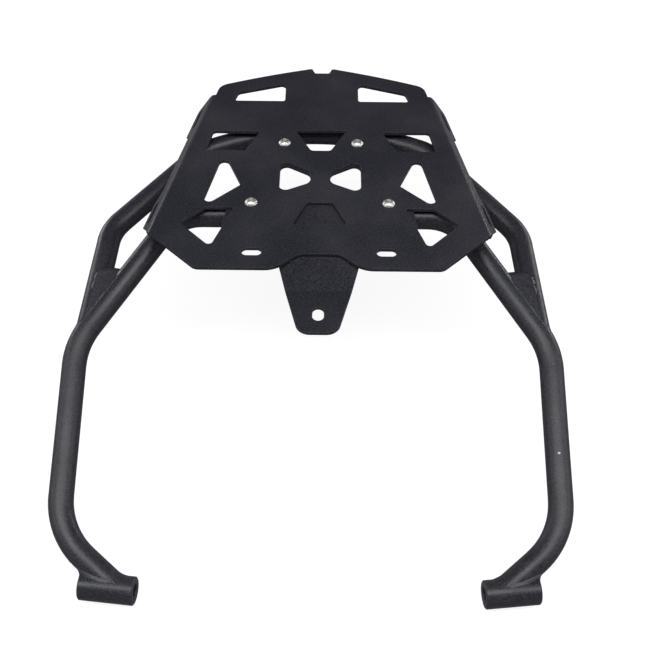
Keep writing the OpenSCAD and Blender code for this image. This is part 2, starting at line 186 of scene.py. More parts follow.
# %% Soft lamps
# Each lamp has a name, a place and an aim in mm, a width and a depth in mm, and its watts.
LAMPS = [
    ("lamp_over_camera", (0, -640, 1300), (0, -600, 0), (2800, 600), 23),
    ("lamp_left", (-1500, -350, 550), (0, -200, -40), (1300, 1000), 4.5),
    ("lamp_right", (1500, -350, 550), (0, -200, -40), (1300, 1000), 5),
    ("lamp_back_left", (-1250, 900, 120), (0, 0, -20), (700, 300), 3.3),
    ("lamp_back_right", (1250, 900, 120), (0, 0, -20), (700, 300), 3.3),
]

for name, place_mm, aim_mm, (width_mm, depth_mm), watts in LAMPS:
    lamp = bpy.data.lights.new(name, "AREA")
    lamp.shape = "RECTANGLE"
    lamp.size, lamp.size_y = width_mm * MM, depth_mm * MM
    lamp.energy = watts
    item = bpy.data.objects.new(name, lamp)
    bpy.context.collection.objects.link(item)
    item.location = Vector(place_mm) * MM
    way = Vector(aim_mm) - Vector(place_mm)
    item.rotation_euler = way.to_track_quat("-Z", "Y").to_euler()
print("lamps:", [row[0] for row in LAMPS])

# %% Floor
FLOOR_HALF_MM = 3000
FLOOR_BELOW_MM = 1.5
FLOOR_GREY = (0.3, 0.3, 0.31, 1)
FLOOR_GLOW = 0.86

floor_z = cad_box[0].z - FLOOR_BELOW_MM * MM
side_m = FLOOR_HALF_MM * MM
corners = [(x * side_m, y * side_m, floor_z) for x, y in ((-1, -1), (1, -1), (1, 1), (-1, 1))]
floor_mesh = bpy.data.meshes.new("floor")
floor_mesh.from_pydata(corners, [], [(0, 1, 2, 3)])
floor = bpy.data.objects.new("floor", floor_mesh)
bpy.context.collection.objects.link(floor)
floor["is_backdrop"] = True

floor_paint = bpy.data.materials.new("floor_white")
floor_paint.use_nodes = True
tree = floor_paint.node_tree
tree.nodes.clear()
matt = add_node(tree, "ShaderNodeBsdfDiffuse", {"Color": FLOOR_GREY}).outputs[0]
glow = add_node(tree, "ShaderNodeEmission", {"Strength": FLOOR_GLOW}).outputs[0]
bright = add_node(tree, "ShaderNodeAddShader", {0: matt, 1: glow}).outputs[0]
seen = add_node(tree, "ShaderNodeLightPath").outputs["Is Camera Ray"]
chosen = add_node(tree, "ShaderNodeMixShader", {0: seen, 1: matt, 2: bright}).outputs[0]
add_node(tree, "ShaderNodeOutputMaterial", {"Surface": chosen})
floor_mesh.materials.append(floor_paint)
bpy.context.scene.view_settings.view_transform = "Standard"
print("floor at z in mm:", round(floor_z / MM, 1))

# %% [markdown]
# ## Effects on the surface
#
# Small node groups hold the effects, and each puts out only values that vary over the surface. The
# grain is the fine orange peel of a powder coat: a noise of about a millimetre whose height feeds a
# bump, and which also changes the roughness. The worn edge is found with a Bevel node: where the
# bevelled normal leaves the true one, there is an edge. The film is the thin uneven haze that
# handling leaves on a dark coat.

# %% Grain of the powder coat
PATCHES_PER_METRE = 24.0
PATCH_SHARE = 0.5
ROUGHNESS_SPAN = (0.35, 0.65)


def make_grain():
    group, start, end = new_group(
        "powder_grain", "ShaderNodeTree",
        [("Grain Size", "NodeSocketFloat", 1.1), ("Smooth Roughness", "NodeSocketFloat", 0.3),
         ("Rough Roughness", "NodeSocketFloat", 0.46)],
        [("Height", "NodeSocketFloat"), ("Roughness", "NodeSocketFloat")],
    )
    place = add_node(group, "ShaderNodeTexCoord").outputs["Object"]
    per_metre = math_node(group, "DIVIDE", 1000.0, start.outputs["Grain Size"])
    fine = noise(group, place, per_metre, 2.0)
    patches = noise(group, place, PATCHES_PER_METRE, 3.0)
    fine_share = math_node(group, "MULTIPLY", fine, 1 - PATCH_SHARE)
    both = math_node(group, "MULTIPLY_ADD", patches, PATCH_SHARE, fine_share)
    smooth, rough = start.outputs["Smooth Roughness"], start.outputs["Rough Roughness"]
    group.links.new(fine, end.inputs["Height"])
    group.links.new(ranged(group, both, *ROUGHNESS_SPAN, smooth, rough), end.inputs["Roughness"])
    return group


powder_grain = make_grain()
print("group:", powder_grain.name)

# %% Soft and worn edges
# The span is of the cosine between the two normals: no edge at its first value, full at its second.
EDGE_SPAN = (0.995, 0.8)
WEAR_PER_METRE = 90.0
WEAR_SPAN = (0.35, 0.7)


def make_edges():
    group, start, end = new_group(
        "soft_edges", "ShaderNodeTree",
        [("Edge Radius", "NodeSocketFloat", 0.0006)],
        [("Normal", "NodeSocketVector"), ("Edge", "NodeSocketFloat")],
    )
    radius = start.outputs["Edge Radius"]
    bevelled = add_node(group, "ShaderNodeBevel", {"Radius": radius}, samples=6).outputs[0]
    true = add_node(group, "ShaderNodeNewGeometry").outputs["Normal"]
    match = add_node(group, "ShaderNodeVectorMath", {0: bevelled, 1: true}, operation="DOT_PRODUCT")
    edge = ranged(group, match.outputs["Value"], *EDGE_SPAN)
    place = add_node(group, "ShaderNodeTexCoord").outputs["Object"]
    wear = ranged(group, noise(group, place, WEAR_PER_METRE, 4.0), *WEAR_SPAN)
    group.links.new(bevelled, end.inputs["Normal"])
    group.links.new(math_node(group, "MULTIPLY", edge, wear), end.inputs["Edge"])
    return group


soft_edges = make_edges()
print("group:", soft_edges.name)

# %% Film of handling and dust
CLOUDS_PER_METRE, CLOUD_SPAN, CLOUD_FULL = 11.0, (0.42, 0.72), 0.5
SPECKS_PER_METRE, SPECK_SPAN = 620.0, (0.68, 0.78)
FACING_UP_SPAN = (0.2, 0.95)


def make_film():
    group, start, end = new_group(
        "dust_film", "ShaderNodeTree",
        [("Amount", "NodeSocketFloat", 0.3)],
        [("Mask", "NodeSocketFloat")],
    )
    place = add_node(group, "ShaderNodeTexCoord").outputs["Object"]
    normal = add_node(group, "ShaderNodeNewGeometry").outputs["Normal"]
    up = add_node(group, "ShaderNodeSeparateXYZ", {0: normal}).outputs["Z"]
    cloud = noise(group, place, CLOUDS_PER_METRE, 5.0, 0.6)
    specks = noise(group, place, SPECKS_PER_METRE, 1.0)
    haze = ranged(group, cloud, *CLOUD_SPAN, 0.0, CLOUD_FULL)
    total = math_node(group, "ADD", haze, ranged(group, specks, *SPECK_SPAN))
    lying = math_node(group, "MULTIPLY", total, ranged(group, up, *FACING_UP_SPAN))
    mask = math_node(group, "MULTIPLY", lying, start.outputs["Amount"], clamp=True)
    group.links.new(mask, end.inputs["Mask"])
    return group


dust_film = make_film()
print("group:", dust_film.name)

# %% [markdown]
# The rack in the picture is nearly new, with a few small chips where the coat shows light, and one
# more light spot on the deck is a painted highlight. Each spot is a place on the rack and a radius,
# in mm. The group measures the distance to every place, roughened by a noise so that no spot is
# round, and joins them into one mask.

# %% Chips
CHIPS_AND_GLINT_MM = [
    (183.8, -228.4, -83.0, 1.2),
    (-28.6, -109.8, -0.6, 0.5),
    (-15.7, -100.4, -0.6, 0.5),
    (19.5, -104.4, -0.6, 0.5),
    (28.1, -108.9, -0.6, 0.6),
    (19.2, 52.0, 0.0, 0.5),
    # Painted highlight, no chip: a light spot on the deck at the corner of a window, where a bright glint
    # shows.
    (91.8, -47.7, 0.0, 0.5),
]
RAGGED_PER_METRE, RAGGED_SPAN = 700.0, (0.3, 0.7)
RAGGED_MM = 0.4
SPOT_CORE = 0.6


def make_chips_and_glint():
    group, start, end = new_group(
        "paint_chips", "ShaderNodeTree", [], [("Mask", "NodeSocketFloat")]
    )
    place = add_node(group, "ShaderNodeTexCoord").outputs["Object"]
    ragged = noise(group, place, RAGGED_PER_METRE, 2.0)
    shift = ranged(group, ragged, *RAGGED_SPAN, -RAGGED_MM * MM, RAGGED_MM * MM)
    mask = None
    for x, y, z, radius in CHIPS_AND_GLINT_MM:
        ends = {0: place, 1: (x * MM, y * MM, z * MM)}
        far = add_node(group, "ShaderNodeVectorMath", ends, operation="DISTANCE").outputs["Value"]
        uneven = math_node(group, "ADD", far, shift)
        spot = ranged(group, uneven, radius * MM, SPOT_CORE * radius * MM)
        mask = spot if mask is None else math_node(group, "MAXIMUM", mask, spot)
    group.links.new(mask, end.inputs["Mask"])
    return group


paint_chips = make_chips_and_glint()
print("chips:", len(CHIPS_AND_GLINT_MM))

# %% [markdown]
# ## Finishes
#
# The powder coat is a dark, slightly blue grey with a broad soft reflection. Its grain sets the
# roughness and a low bump, the edges are softened over 0.6 mm and a little lighter, and the film,
# the chips and one painted highlight lighten it in places. The screws are bright stainless steel
# with fine turning marks, and the bosses and weld nuts under the deck are zinc plated.


# %% Helpers for materials
def new_material(name):
    made = bpy.data.materials.new(name)
    made.use_nodes = True
    tree = made.node_tree
    tree.nodes.clear()
    shader = add_node(tree, "ShaderNodeBsdfPrincipled")
    add_node(tree, "ShaderNodeOutputMaterial", {"Surface": shader.outputs[0]})
    return made, tree, shader


def group_node(tree, group, **values):
    made = add_node(tree, "ShaderNodeGroup", node_tree=group)
    for key, value in values.items():
        made.inputs[key.replace("_", " ")].default_value = value
    return made


def mixed(tree, share, first, second):
    values = {0: share, 6: first, 7: second}
    return add_node(tree, "ShaderNodeMix", values, data_type="RGBA").outputs[2]


def bump_node(tree, height, depth_mm, strength, normal):
    values = {"Height": height, "Distance": depth_mm * MM, "Strength": strength, "Normal": normal}
    return add_node(tree, "ShaderNodeBump", values).outputs[0]


print("helpers for materials ready")

# %% Powder coat
COAT_DARK, COAT_LIGHT = (0.005, 0.0052, 0.0082, 1), (0.036, 0.037, 0.0485, 1)
WORN_COAT = (0.16, 0.165, 0.18, 1)
DUST = (0.13, 0.13, 0.135, 1)
BARE_METAL = (0.62, 0.62, 0.6, 1)
SPECKLE_SPAN = (0.36, 0.66)
COAT_EDGE_MM = 0.6
WORN_SHARE = 0.35
DUST_AMOUNT = 0.35
GRAIN_HEIGHT_MM, GRAIN_STRENGTH = 0.16, 0.8


def make_powder_coat():
    material, tree, shader = new_material("powder_coat")
    grain = group_node(tree, powder_grain)
    edges = group_node(tree, soft_edges, Edge_Radius=COAT_EDGE_MM * MM)
    film = group_node(tree, dust_film, Amount=DUST_AMOUNT)
    chip_and_glint_marks = group_node(tree, paint_chips)
    speckle = ranged(tree, grain.outputs["Height"], *SPECKLE_SPAN)
    wear = math_node(tree, "MULTIPLY", edges.outputs["Edge"], WORN_SHARE)
    colour = mixed(tree, speckle, COAT_DARK, COAT_LIGHT)
    colour = mixed(tree, wear, colour, WORN_COAT)
    colour = mixed(tree, film.outputs["Mask"], colour, DUST)
    # Real chips and one painted highlight turn the coat to light bare metal.
    colour = mixed(tree, chip_and_glint_marks.outputs["Mask"], colour, BARE_METAL)
    normal = bump_node(
        tree, grain.outputs["Height"], GRAIN_HEIGHT_MM, GRAIN_STRENGTH, edges.outputs["Normal"]
    )
    tree.links.new(colour, shader.inputs["Base Color"])
    tree.links.new(grain.outputs["Roughness"], shader.inputs["Roughness"])
    tree.links.new(normal, shader.inputs["Normal"])
    return material


powder_coat = make_powder_coat()
print("material:", powder_coat.name)

# %% Metals
METAL_EDGE_MM = 0.25
MARK_HEIGHT_MM, MARK_STRENGTH = 0.02, 0.4
MARK_SPAN = (0.3, 0.7)


def make_steel(name, dark, light, smooth, rough, marks_per_metre):
    material, tree, shader = new_material(name)
    edges = group_node(tree, soft_edges, Edge_Radius=METAL_EDGE_MM * MM)
    place = add_node(tree, "ShaderNodeTexCoord").outputs["Object"]
    stretched = add_node(tree, "ShaderNodeMapping", {"Vector": place, "Scale": marks_per_metre})
    marks = noise(tree, stretched.outputs[0], 1.0, 4.0)
    normal = bump_node(tree, marks, MARK_HEIGHT_MM, MARK_STRENGTH, edges.outputs["Normal"])
    tree.links.new(mixed(tree, marks, dark, light), shader.inputs["Base Color"])
    tree.links.new(ranged(tree, marks, *MARK_SPAN, smooth, rough), shader.inputs["Roughness"])
    tree.links.new(normal, shader.inputs["Normal"])
    shader.inputs["Metallic"].default_value = 1.0
    return material


stainless = make_steel(
    "stainless", (0.55, 0.54, 0.515, 1), (0.74, 0.73, 0.7, 1), 0.34, 0.5, (500, 500, 3000)
)
plated_steel = make_steel(
    "plated_steel", (0.34, 0.35, 0.36, 1), (0.55, 0.56, 0.58, 1), 0.3, 0.5, (900, 900, 400)
)
print("materials:", stainless.name, plated_steel.name)

# %% [markdown]
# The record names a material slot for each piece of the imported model, and each piece gets the
# finish of its slot.

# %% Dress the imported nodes
FINISH = {"powder_coat": powder_coat, "plated_steel": plated_steel, "stainless": stainless}
slot_of = {item["node"]: item["material_slot"] for item in record["subparts"]}
for name, item in nodes.items():
    for slot in item.material_slots:
        slot.material = FINISH[slot_of[name]]
print("dressed:", sorted(slot_of))

# %% [markdown]
# ## Where the welds run
#
# The welds follow the lines where a tube meets a sleeve or another tube. Those lines come from the
# tubes' own centre lines: straights joined by round bends, each hoop in its own sloping plane.
# Walking round a tube's skin and out along it until the other tube's skin is crossed gives the
# line, point by point.

# %% Sizes of the tubes
# Each corner of a hoop is x and y in plan, from the middle of its crossing, and a bend radius.
SIDES = ((-1, "left"), (1, "right"))
TUBE_RADIUS_MM = 9.525
PLATES_MM = 6
TUBE_Z_MM = -PLATES_MM - TUBE_RADIUS_MM
TUBE_SHIFT_MM = 4
NEAR_Y_MM = -39.7
REAR_Y_MM = 73.4
MAIN_TILT_DEG = 22.3
MAIN_CORNERS_MM = [
    (140.1, -280.6, 0), (188.8, -242.8, 60), (188.8, -105.5, 60), (115.5, 0, 38), (0, 0, 0)
]
REAR_CORNERS_MM = [(180.6, -206.8, 0), (173.6, -110.0, 38), (100.8, -22.2, 0)]
JOIN_FROM_REAR_MM = -REAR_CORNERS_MM[0][1]
JOIN_FROM_NEAR_MM = NEAR_Y_MM - REAR_Y_MM + JOIN_FROM_REAR_MM
JOIN_DROP_MM = JOIN_FROM_NEAR_MM * math.tan(math.radians(MAIN_TILT_DEG))
REAR_TILT_DEG = math.degrees(math.atan(JOIN_DROP_MM / JOIN_FROM_REAR_MM))
BEND_STEPS = 12
STEP_MM = 1.0
print("slopes in degrees:", MAIN_TILT_DEG, round(REAR_TILT_DEG, 2))


# %% Centre lines of the tubes
def centre_line(corners, side, crossing_y, tilt_deg):
    """Points about every millimetre along one side of a hoop."""
    tilt = math.radians(tilt_deg)
    flat = [Vector((x, y / math.cos(tilt), 0)) for x, y, r in corners]
    track = [flat[0]]
    for k in range(1, len(flat) - 1):
        radius = corners[k][2]
        before = (flat[k] - flat[k - 1]).normalized()
        after = (flat[k + 1] - flat[k]).normalized()
        turn = before.angle(after)
        first = flat[k] - before * radius * math.tan(turn / 2)
        inwards = (after - before * after.dot(before)).normalized()
        centre = first + inwards * radius
        track.append(first)
        for i in range(1, BEND_STEPS + 1):
            a = turn * i / BEND_STEPS
            track.append(centre + radius * (before * math.sin(a) - inwards * math.cos(a)))
    track.append(flat[-1])
    points = []
    for a, b in zip(track, track[1:]):
        count = max(1, round((b - a).length / STEP_MM))
        points += [a.lerp(b, i / count) for i in range(count)]
    points.append(track[-1])
    slope = Matrix.Rotation(tilt, 3, "X")
    origin = Vector((-TUBE_SHIFT_MM, crossing_y, TUBE_Z_MM))
    return np.array([origin + slope @ Vector((side * p.x, p.y, 0)) for p in points])


main_line = {s: centre_line(MAIN_CORNERS_MM, s, NEAR_Y_MM, MAIN_TILT_DEG) for s, _ in SIDES}
rear_line = {s: centre_line(REAR_CORNERS_MM, s, REAR_Y_MM, REAR_TILT_DEG) for s, _ in SIDES}
print("points on one side:", len(main_line[1]), len(rear_line[1]))

# %% Centre lines of the sleeves
SLEEVE_WALK_MM = np.arange(-30, 30.5, 0.5)

sleeve_line = {}
for side, word in SIDES:
    mount = next(item for item in record["mounts"] if item["name"] == word + "_sleeve_bore")
    middle = np.array(mount["pos_m"]) / MM
    sleeve_line[side] = middle + np.array(mount["axis"]) * SLEEVE_WALK_MM[:, None]
print("points on a sleeve:", len(sleeve_line[1]))

# %% Lines where the skins meet
POINTS_ROUND = 120
FURTHEST_MM = 70.0
HALVINGS = 24


def unit(v):
    return v / np.linalg.norm(v, axis=-1, keepdims=True)


def near(points, line):
    """The nearest place on a finely walked line, for each point."""
    which = ((points[:, None, :] - line[None, :, :]) ** 2).sum(axis=2).argmin(axis=1)
    at = np.clip(which, 1, len(line) - 2)
    way = unit(line[at + 1] - line[at - 1])
    return line[at] + way * ((points - line[at]) * way).sum(axis=1)[:, None]


def meeting_line(end, way, other, other_radius):
    """Round a tube's skin: where it leaves the skin of the other. way points out of the joint."""
    way = unit(way)
    across = unit(np.cross(way, (0.0, 0.0, 1.0)))
    angle = np.linspace(0, 2 * np.pi, POINTS_ROUND, endpoint=False)[:, None]
    normal = np.cos(angle) * across + np.sin(angle) * np.cross(way, across)
    low, high = np.zeros(POINTS_ROUND), np.full(POINTS_ROUND, FURTHEST_MM)
    for _ in range(HALVINGS):
        mid = (low + high) / 2
        points = end + TUBE_RADIUS_MM * normal + mid[:, None] * way
        outside = np.linalg.norm(points - near(points, other), axis=1) > other_radius
        high = np.where(outside, mid, high)
        low = np.where(outside, low, mid)
    return end + TUBE_RADIUS_MM * normal + high[:, None] * way, normal


print("points round a weld:", POINTS_ROUND)

# %% [markdown]
# ## Weld fillets
#
# A fillet bridges the corner between two skins. At each point of the meeting line its section
# starts on one skin, curves in through the corner and ends on the other, and a point sunk in the
# metal closes it. Where the tubes meet at a sharp angle the welder fills more, so the section is
# wider there. The ripple and the lumps of the bead are added by Geometry Nodes.

# %% Fillet meshes
# A weld has the radius of the other tube, its own reach, how much wider and how much flatter it is
# in the crotch, and half the other tube's length where that tube ends near the weld.
SLEEVE_WELD = {"radius": 10.5, "reach": 4.6, "crotch_fill": 1.6, "flat": 0.1, "half": 20.3}
JOIN_WELD = {"radius": TUBE_RADIUS_MM, "reach": 2.2, "crotch_fill": 1.0, "flat": 0.2, "half": None}
FILLET_STEPS = 6
TOE_SUNK_MM = 0.12
ROOT_SUNK_MM = 0.7
CORNER_BEND = 0.14
CROTCH_POWER = 3


def held(points, line, half):
    """Points that pass the end of a short straight line are brought back to its end."""
    if half is None:
        return points
    middle, axis = line[len(line) // 2], unit(line[-1] - line[0])
    along = ((points - middle) * axis).sum(axis=1)
    return points - (along - np.clip(along, -half, half))[:, None] * axis


def fillet_mesh(name, points, normal, way, other, radius, reach, crotch_fill, flat, half):
    start = points
    points = held(points, other, half)
    other_normal = unit(points - near(points, other))
    along_a = np.broadcast_to(unit(way), points.shape)
    along_b = unit(normal - (normal * other_normal).sum(axis=1)[:, None] * other_normal)
    crotch = np.clip((1 + (along_a * along_b).sum(axis=1)) / 2, 0, 1)[:, None] ** CROTCH_POWER
    width = reach * (1 + crotch_fill * crotch)
    toe_a = start + width * along_a - TOE_SUNK_MM * normal
    toe_b = held(points + width * along_b, other, half)
    core = near(toe_b, other)
    toe_b = core + (radius - TOE_SUNK_MM) * unit(toe_b - core)
    bend = points + (CORNER_BEND + flat * crotch) * width * (along_a + along_b)
    rows = []
    for i in range(FILLET_STEPS + 1):
        t = i / FILLET_STEPS
        rows.append((1 - t) ** 2 * toe_a + 2 * t * (1 - t) * bend + t ** 2 * toe_b)
    rows.append(points - ROOT_SUNK_MM * (normal + other_normal))
    rows = np.array(rows) * MM
    loops, count = rows.shape[:2]
    faces = []
    for j in range(count):
        k = (j + 1) % count
        for i in range(loops):
            n = (i + 1) % loops
            faces.append((j * loops + i, j * loops + n, k * loops + n, k * loops + i))
    steps = np.linalg.norm(np.roll(points, -1, axis=0) - points, axis=1)
    along = np.concatenate([[0], np.cumsum(steps)[:-1]]) * MM
    return marked_mesh(name, rows.transpose(1, 0, 2).reshape(-1, 3), faces, np.repeat(along, loops))


def marked_mesh(name, verts, faces, along):
    """A mesh that also keeps how far along the weld each of its points is."""
    mesh = bpy.data.meshes.new(name)
    mesh.from_pydata([tuple(v) for v in verts], [], faces)
    mesh.attributes.new("along", "FLOAT", "POINT").data.foreach_set("value", along)
    return mesh


print("steps in a fillet's section:", FILLET_STEPS)

# %% Fillets on the rack
WAY_POINTS = 12


def volume(mesh):
    """Six times the volume; it is negative where the normals point inwards."""
    total = 0.0
    for face in mesh.polygons:
        corners = [mesh.vertices[i].co for i in face.vertices]
        for second, third in zip(corners[1:], corners[2:]):
            total += corners[0].dot(second.cross(third))
    return total


def new_piece(name, mesh):
    if volume(mesh) < 0:
        mesh.flip_normals()
    piece = bpy.data.objects.new(name, mesh)
    bpy.context.collection.objects.link(piece)
    return piece


def weld_piece(name, line, other, weld):
    way = line[WAY_POINTS] - line[0]
    points, normal = meeting_line(line[0], way, other, weld["radius"])
    return new_piece(name, fillet_mesh(name, points, normal, way, other, **weld))


fillets = []
for side, word in SIDES:
    main, rear, sleeve = main_line[side], rear_line[side], sleeve_line[side]
    fillets.append(weld_piece(word + "_sleeve_weld", main, sleeve, SLEEVE_WELD))
    fillets.append(weld_piece(word + "_join_weld", rear, main, JOIN_WELD))
print("fillets:", [piece.name for piece in fillets])

# %% [markdown]
# On the real rack the valley between the two tubes is filled too, so that the rear tube seems to
# melt into the main one. A slab lies between the two centre lines, station by station as they run
# apart. Its faces lie just under the tops of the tubes, and its far edge is rounded, so that the
# hole between the tubes ends softly.

# %% Webs in the joins
WEB_FROM_MM, WEB_TO_MM = 4.0, 60.0
WEB_THINS_FROM_MM = 46.0
WEB_STATIONS, WEB_ACROSS = 40, 9
WEB_LEVEL, WEB_EDGE_LEVEL = 0.99, 0.12


def place_along(line, first, distances):
    steps = np.linalg.norm(np.diff(line[first:], axis=0), axis=1)
    walked = np.concatenate([[0], np.cumsum(steps)])
    return np.stack([np.interp(distances, walked, line[first:, k]) for k in range(3)], axis=1)


def web_mesh(name, main, rear):
    first = int(((main - rear[0]) ** 2).sum(axis=1).argmin())
    closer = np.sin(np.linspace(0, np.pi / 2, WEB_STATIONS))
    distances = WEB_FROM_MM + (WEB_TO_MM - WEB_FROM_MM) * closer
    on_main, on_rear = place_along(main, first, distances), place_along(rear, 0, distances)
    up = unit(np.cross(on_rear[-1] - on_rear[0], on_main[-1] - on_main[0]))
    up = up if up[2] > 0 else -up
    late = np.clip((distances - WEB_THINS_FROM_MM) / (WEB_TO_MM - WEB_THINS_FROM_MM), 0, 1)
    level = WEB_EDGE_LEVEL + (WEB_LEVEL - WEB_EDGE_LEVEL) * np.sqrt(1 - late ** 2)
    high = (TUBE_RADIUS_MM * level)[:, None, None] * up
    share = np.linspace(0, 1, WEB_ACROSS)[None, :, None]
    top = on_main[:, None, :] + share * (on_rear - on_main)[:, None, :] + high
    loops = np.concatenate([top, (top - 2 * high)[:, ::-1]], axis=1)
    count = loops.shape[1]
    last = (WEB_STATIONS - 1) * count
    faces = [tuple(range(count)), tuple(reversed(range(last, last + count)))]
    for i in range(0, last, count):
        for j in range(count):
            k = (j + 1) % count
            faces.append((i + j, i + count + j, i + count + k, i + k))
    return marked_mesh(name, loops.reshape(-1, 3) * MM, faces, np.repeat(distances * MM, count))


for side, word in SIDES:
    name = word + "_join_web"
    fillets.append(new_piece(name, web_mesh(name, main_line[side], rear_line[side])))
print("with webs:", len(fillets))

# %% [markdown]
# ## Geometry Nodes for welds and threads
#
# `weld_ripple` moves a weld's skin in and out: a wave along the weld for the ripples that each drop
# of metal leaves, and a noise for the lumps. `bead_on_path` first sweeps a round section along a
# path, then uses the same ripple. `thread` turns a helix into a screw thread and puts one on every
# point it gets.


# %% Ripple tree
def dressed(tree, start, geometry):
    """Smooth shading, real copies and the material, which end every tree."""
    smooth = add_node(tree, "GeometryNodeSetShadeSmooth", {"Geometry": geometry}).outputs[0]
    real = add_node(tree, "GeometryNodeRealizeInstances", {"Geometry": smooth}).outputs[0]
    values = {"Geometry": real, "Material": start.outputs["Material"]}
    return add_node(tree, "GeometryNodeSetMaterial", values).outputs[0]


def make_ripple():
    tree, start, end = new_group(
        "weld_ripple", "GeometryNodeTree",
        [("Geometry", "NodeSocketGeometry", None), ("Ripple Length", "NodeSocketFloat", 0.0022),
         ("Ripple Height", "NodeSocketFloat", 0.00012), ("Lump Height", "NodeSocketFloat", 0.0006),
         ("Lumps Per Metre", "NodeSocketFloat", 180.0), ("Seed", "NodeSocketFloat", 1.0),
         ("Material", "NodeSocketMaterial", None)],
        [("Geometry", "NodeSocketGeometry")],
    )
    value = start.outputs
    along = add_node(tree, "GeometryNodeInputNamedAttribute", {"Name": "along"}, data_type="FLOAT")
    turns = math_node(tree, "DIVIDE", along.outputs["Attribute"], value["Ripple Length"])
    wave = math_node(tree, "SINE", math_node(tree, "MULTIPLY", turns, 2 * math.pi))
    ripple = math_node(tree, "MULTIPLY", wave, value["Ripple Height"])
    cloud = add_node(
        tree, "ShaderNodeTexNoise",
        {"Vector": add_node(tree, "GeometryNodeInputPosition").outputs[0], "W": value["Seed"],
         "Scale": value["Lumps Per Metre"], "Detail": 2.0},
        noise_dimensions="4D",
    )
    centred = math_node(tree, "SUBTRACT", cloud.outputs[0], 0.5)
    lump = math_node(tree, "MULTIPLY", centred, value["Lump Height"])
    out = {0: add_node(tree, "GeometryNodeInputNormal").outputs[0],
           "Scale": math_node(tree, "ADD", ripple, lump)}
    push = add_node(tree, "ShaderNodeVectorMath", out, operation="SCALE").outputs[0]
    moves = {"Geometry": value["Geometry"], "Offset": push}
    moved = add_node(tree, "GeometryNodeSetPosition", moves).outputs[0]
    tree.links.new(dressed(tree, start, moved), end.inputs[0])
    return tree


weld_ripple = make_ripple()
print("tree:", weld_ripple.name)

# %% Bead tree
BEAD_SIDES = 14


def swept(tree, path, sides, radius):
    circle = {"Resolution": sides, "Radius": radius}
    section = add_node(tree, "GeometryNodeCurvePrimitiveCircle", circle).outputs[0]
    values = {"Curve": path, "Profile Curve": section, "Fill Caps": True}
    return add_node(tree, "GeometryNodeCurveToMesh", values).outputs[0]


def make_bead():
    tree, start, end = new_group(
        "bead_on_path", "GeometryNodeTree",
        [("Geometry", "NodeSocketGeometry", None), ("Bead Radius", "NodeSocketFloat", 0.002),
         ("Step", "NodeSocketFloat", 0.0006), ("Ripple Length", "NodeSocketFloat", 0.0022),
         ("Ripple Height", "NodeSocketFloat", 0.00015), ("Lump Height", "NodeSocketFloat", 0.0005),
         ("Seed", "NodeSocketFloat", 1.0), ("Material", "NodeSocketMaterial", None)],
        [("Geometry", "NodeSocketGeometry")],
    )
    value = start.outputs
    path = {"Curve": value["Geometry"], "Length": value["Step"]}
    fine = add_node(tree, "GeometryNodeResampleCurve", path, mode="LENGTH").outputs[0]
    length = add_node(tree, "GeometryNodeSplineParameter").outputs["Length"]
    marked = add_node(
        tree, "GeometryNodeStoreNamedAttribute",
        {"Geometry": fine, "Name": "along", "Value": length}, data_type="FLOAT", domain="POINT",
    ).outputs[0]
    rippled = add_node(tree, "GeometryNodeGroup", node_tree=weld_ripple)
    bead = swept(tree, marked, BEAD_SIDES, value["Bead Radius"])
    tree.links.new(bead, rippled.inputs["Geometry"])
    for key in ("Ripple Length", "Ripple Height", "Lump Height", "Seed", "Material"):
        tree.links.new(value[key], rippled.inputs[key])
    tree.links.new(rippled.outputs[0], end.inputs[0])
    return tree


bead_on_path = make_bead()
print("tree:", bead_on_path.name)

# %% Thread tree
HELIX_POINTS, RIDGE_SIDES = 40, 6


def make_thread():
    tree, start, end = new_group(
        "thread", "GeometryNodeTree",
        [("Geometry", "NodeSocketGeometry", None), ("Thread Radius", "NodeSocketFloat", 0.003),
         ("Pitch", "NodeSocketFloat", 0.001), ("Turns", "NodeSocketFloat", 4.0),
         ("Ridge", "NodeSocketFloat", 0.0003), ("Material", "NodeSocketMaterial", None)],
        [("Geometry", "NodeSocketGeometry")],
    )
    value = start.outputs
    helix = add_node(
        tree, "GeometryNodeCurveSpiral",
        {"Resolution": HELIX_POINTS, "Rotations": value["Turns"],
         "Start Radius": value["Thread Radius"],
         "End Radius": value["Thread Radius"],
         "Height": math_node(tree, "MULTIPLY", value["Turns"], value["Pitch"])},
    ).outputs[0]
    ridge = swept(tree, helix, RIDGE_SIDES, value["Ridge"])
    spots = add_node(tree, "GeometryNodeMeshToPoints", {"Mesh": value["Geometry"]}).outputs[0]
    copies = add_node(tree, "GeometryNodeInstanceOnPoints", {"Points": spots, "Instance": ridge})
    tree.links.new(dressed(tree, start, copies.outputs[0]), end.inputs[0])
    return tree


thread = make_thread()
print("tree:", thread.name)

# %% [markdown]
# ## The welds and threads
#
# A tree is put on a piece as a modifier, with its inputs set by their identifiers, and the mesh it
# gives is kept as a plain mesh that rides on the rack. The fillets and webs come first. Then come
# stitches that hold the base plate to the near crossing and its far fingers to the rear one, a ring
# round each boss where it leaves the tube, and three tacks on each weld nut.


# %% Run a tree and keep its mesh
def run_tree(piece, tree, slot, **values):
    modifier = piece.modifiers.new("nodes", "NODES")
    modifier.node_group = tree
    values["Material"] = FINISH[slot]
    for item in tree.interface.items_tree:
        key = item.name.replace(" ", "_")
        if item.in_out == "INPUT" and key in values:
            modifier[item.identifier] = values[key]
    piece.update_tag()
    graph = bpy.context.evaluated_depsgraph_get()
    mesh = bpy.data.meshes.new_from_object(piece.evaluated_get(graph))
    name = mesh.name = piece.name
    bpy.data.objects.remove(piece)
    made = new_piece(name, mesh)
    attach(made, "root")
    return made


made_pieces = []
for number, piece in enumerate(fillets):
    made_pieces.append(run_tree(piece, weld_ripple, "powder_coat", Seed=number + 0.5))
print("welds:", {piece.name: len(piece.data.polygons) for piece in made_pieces})

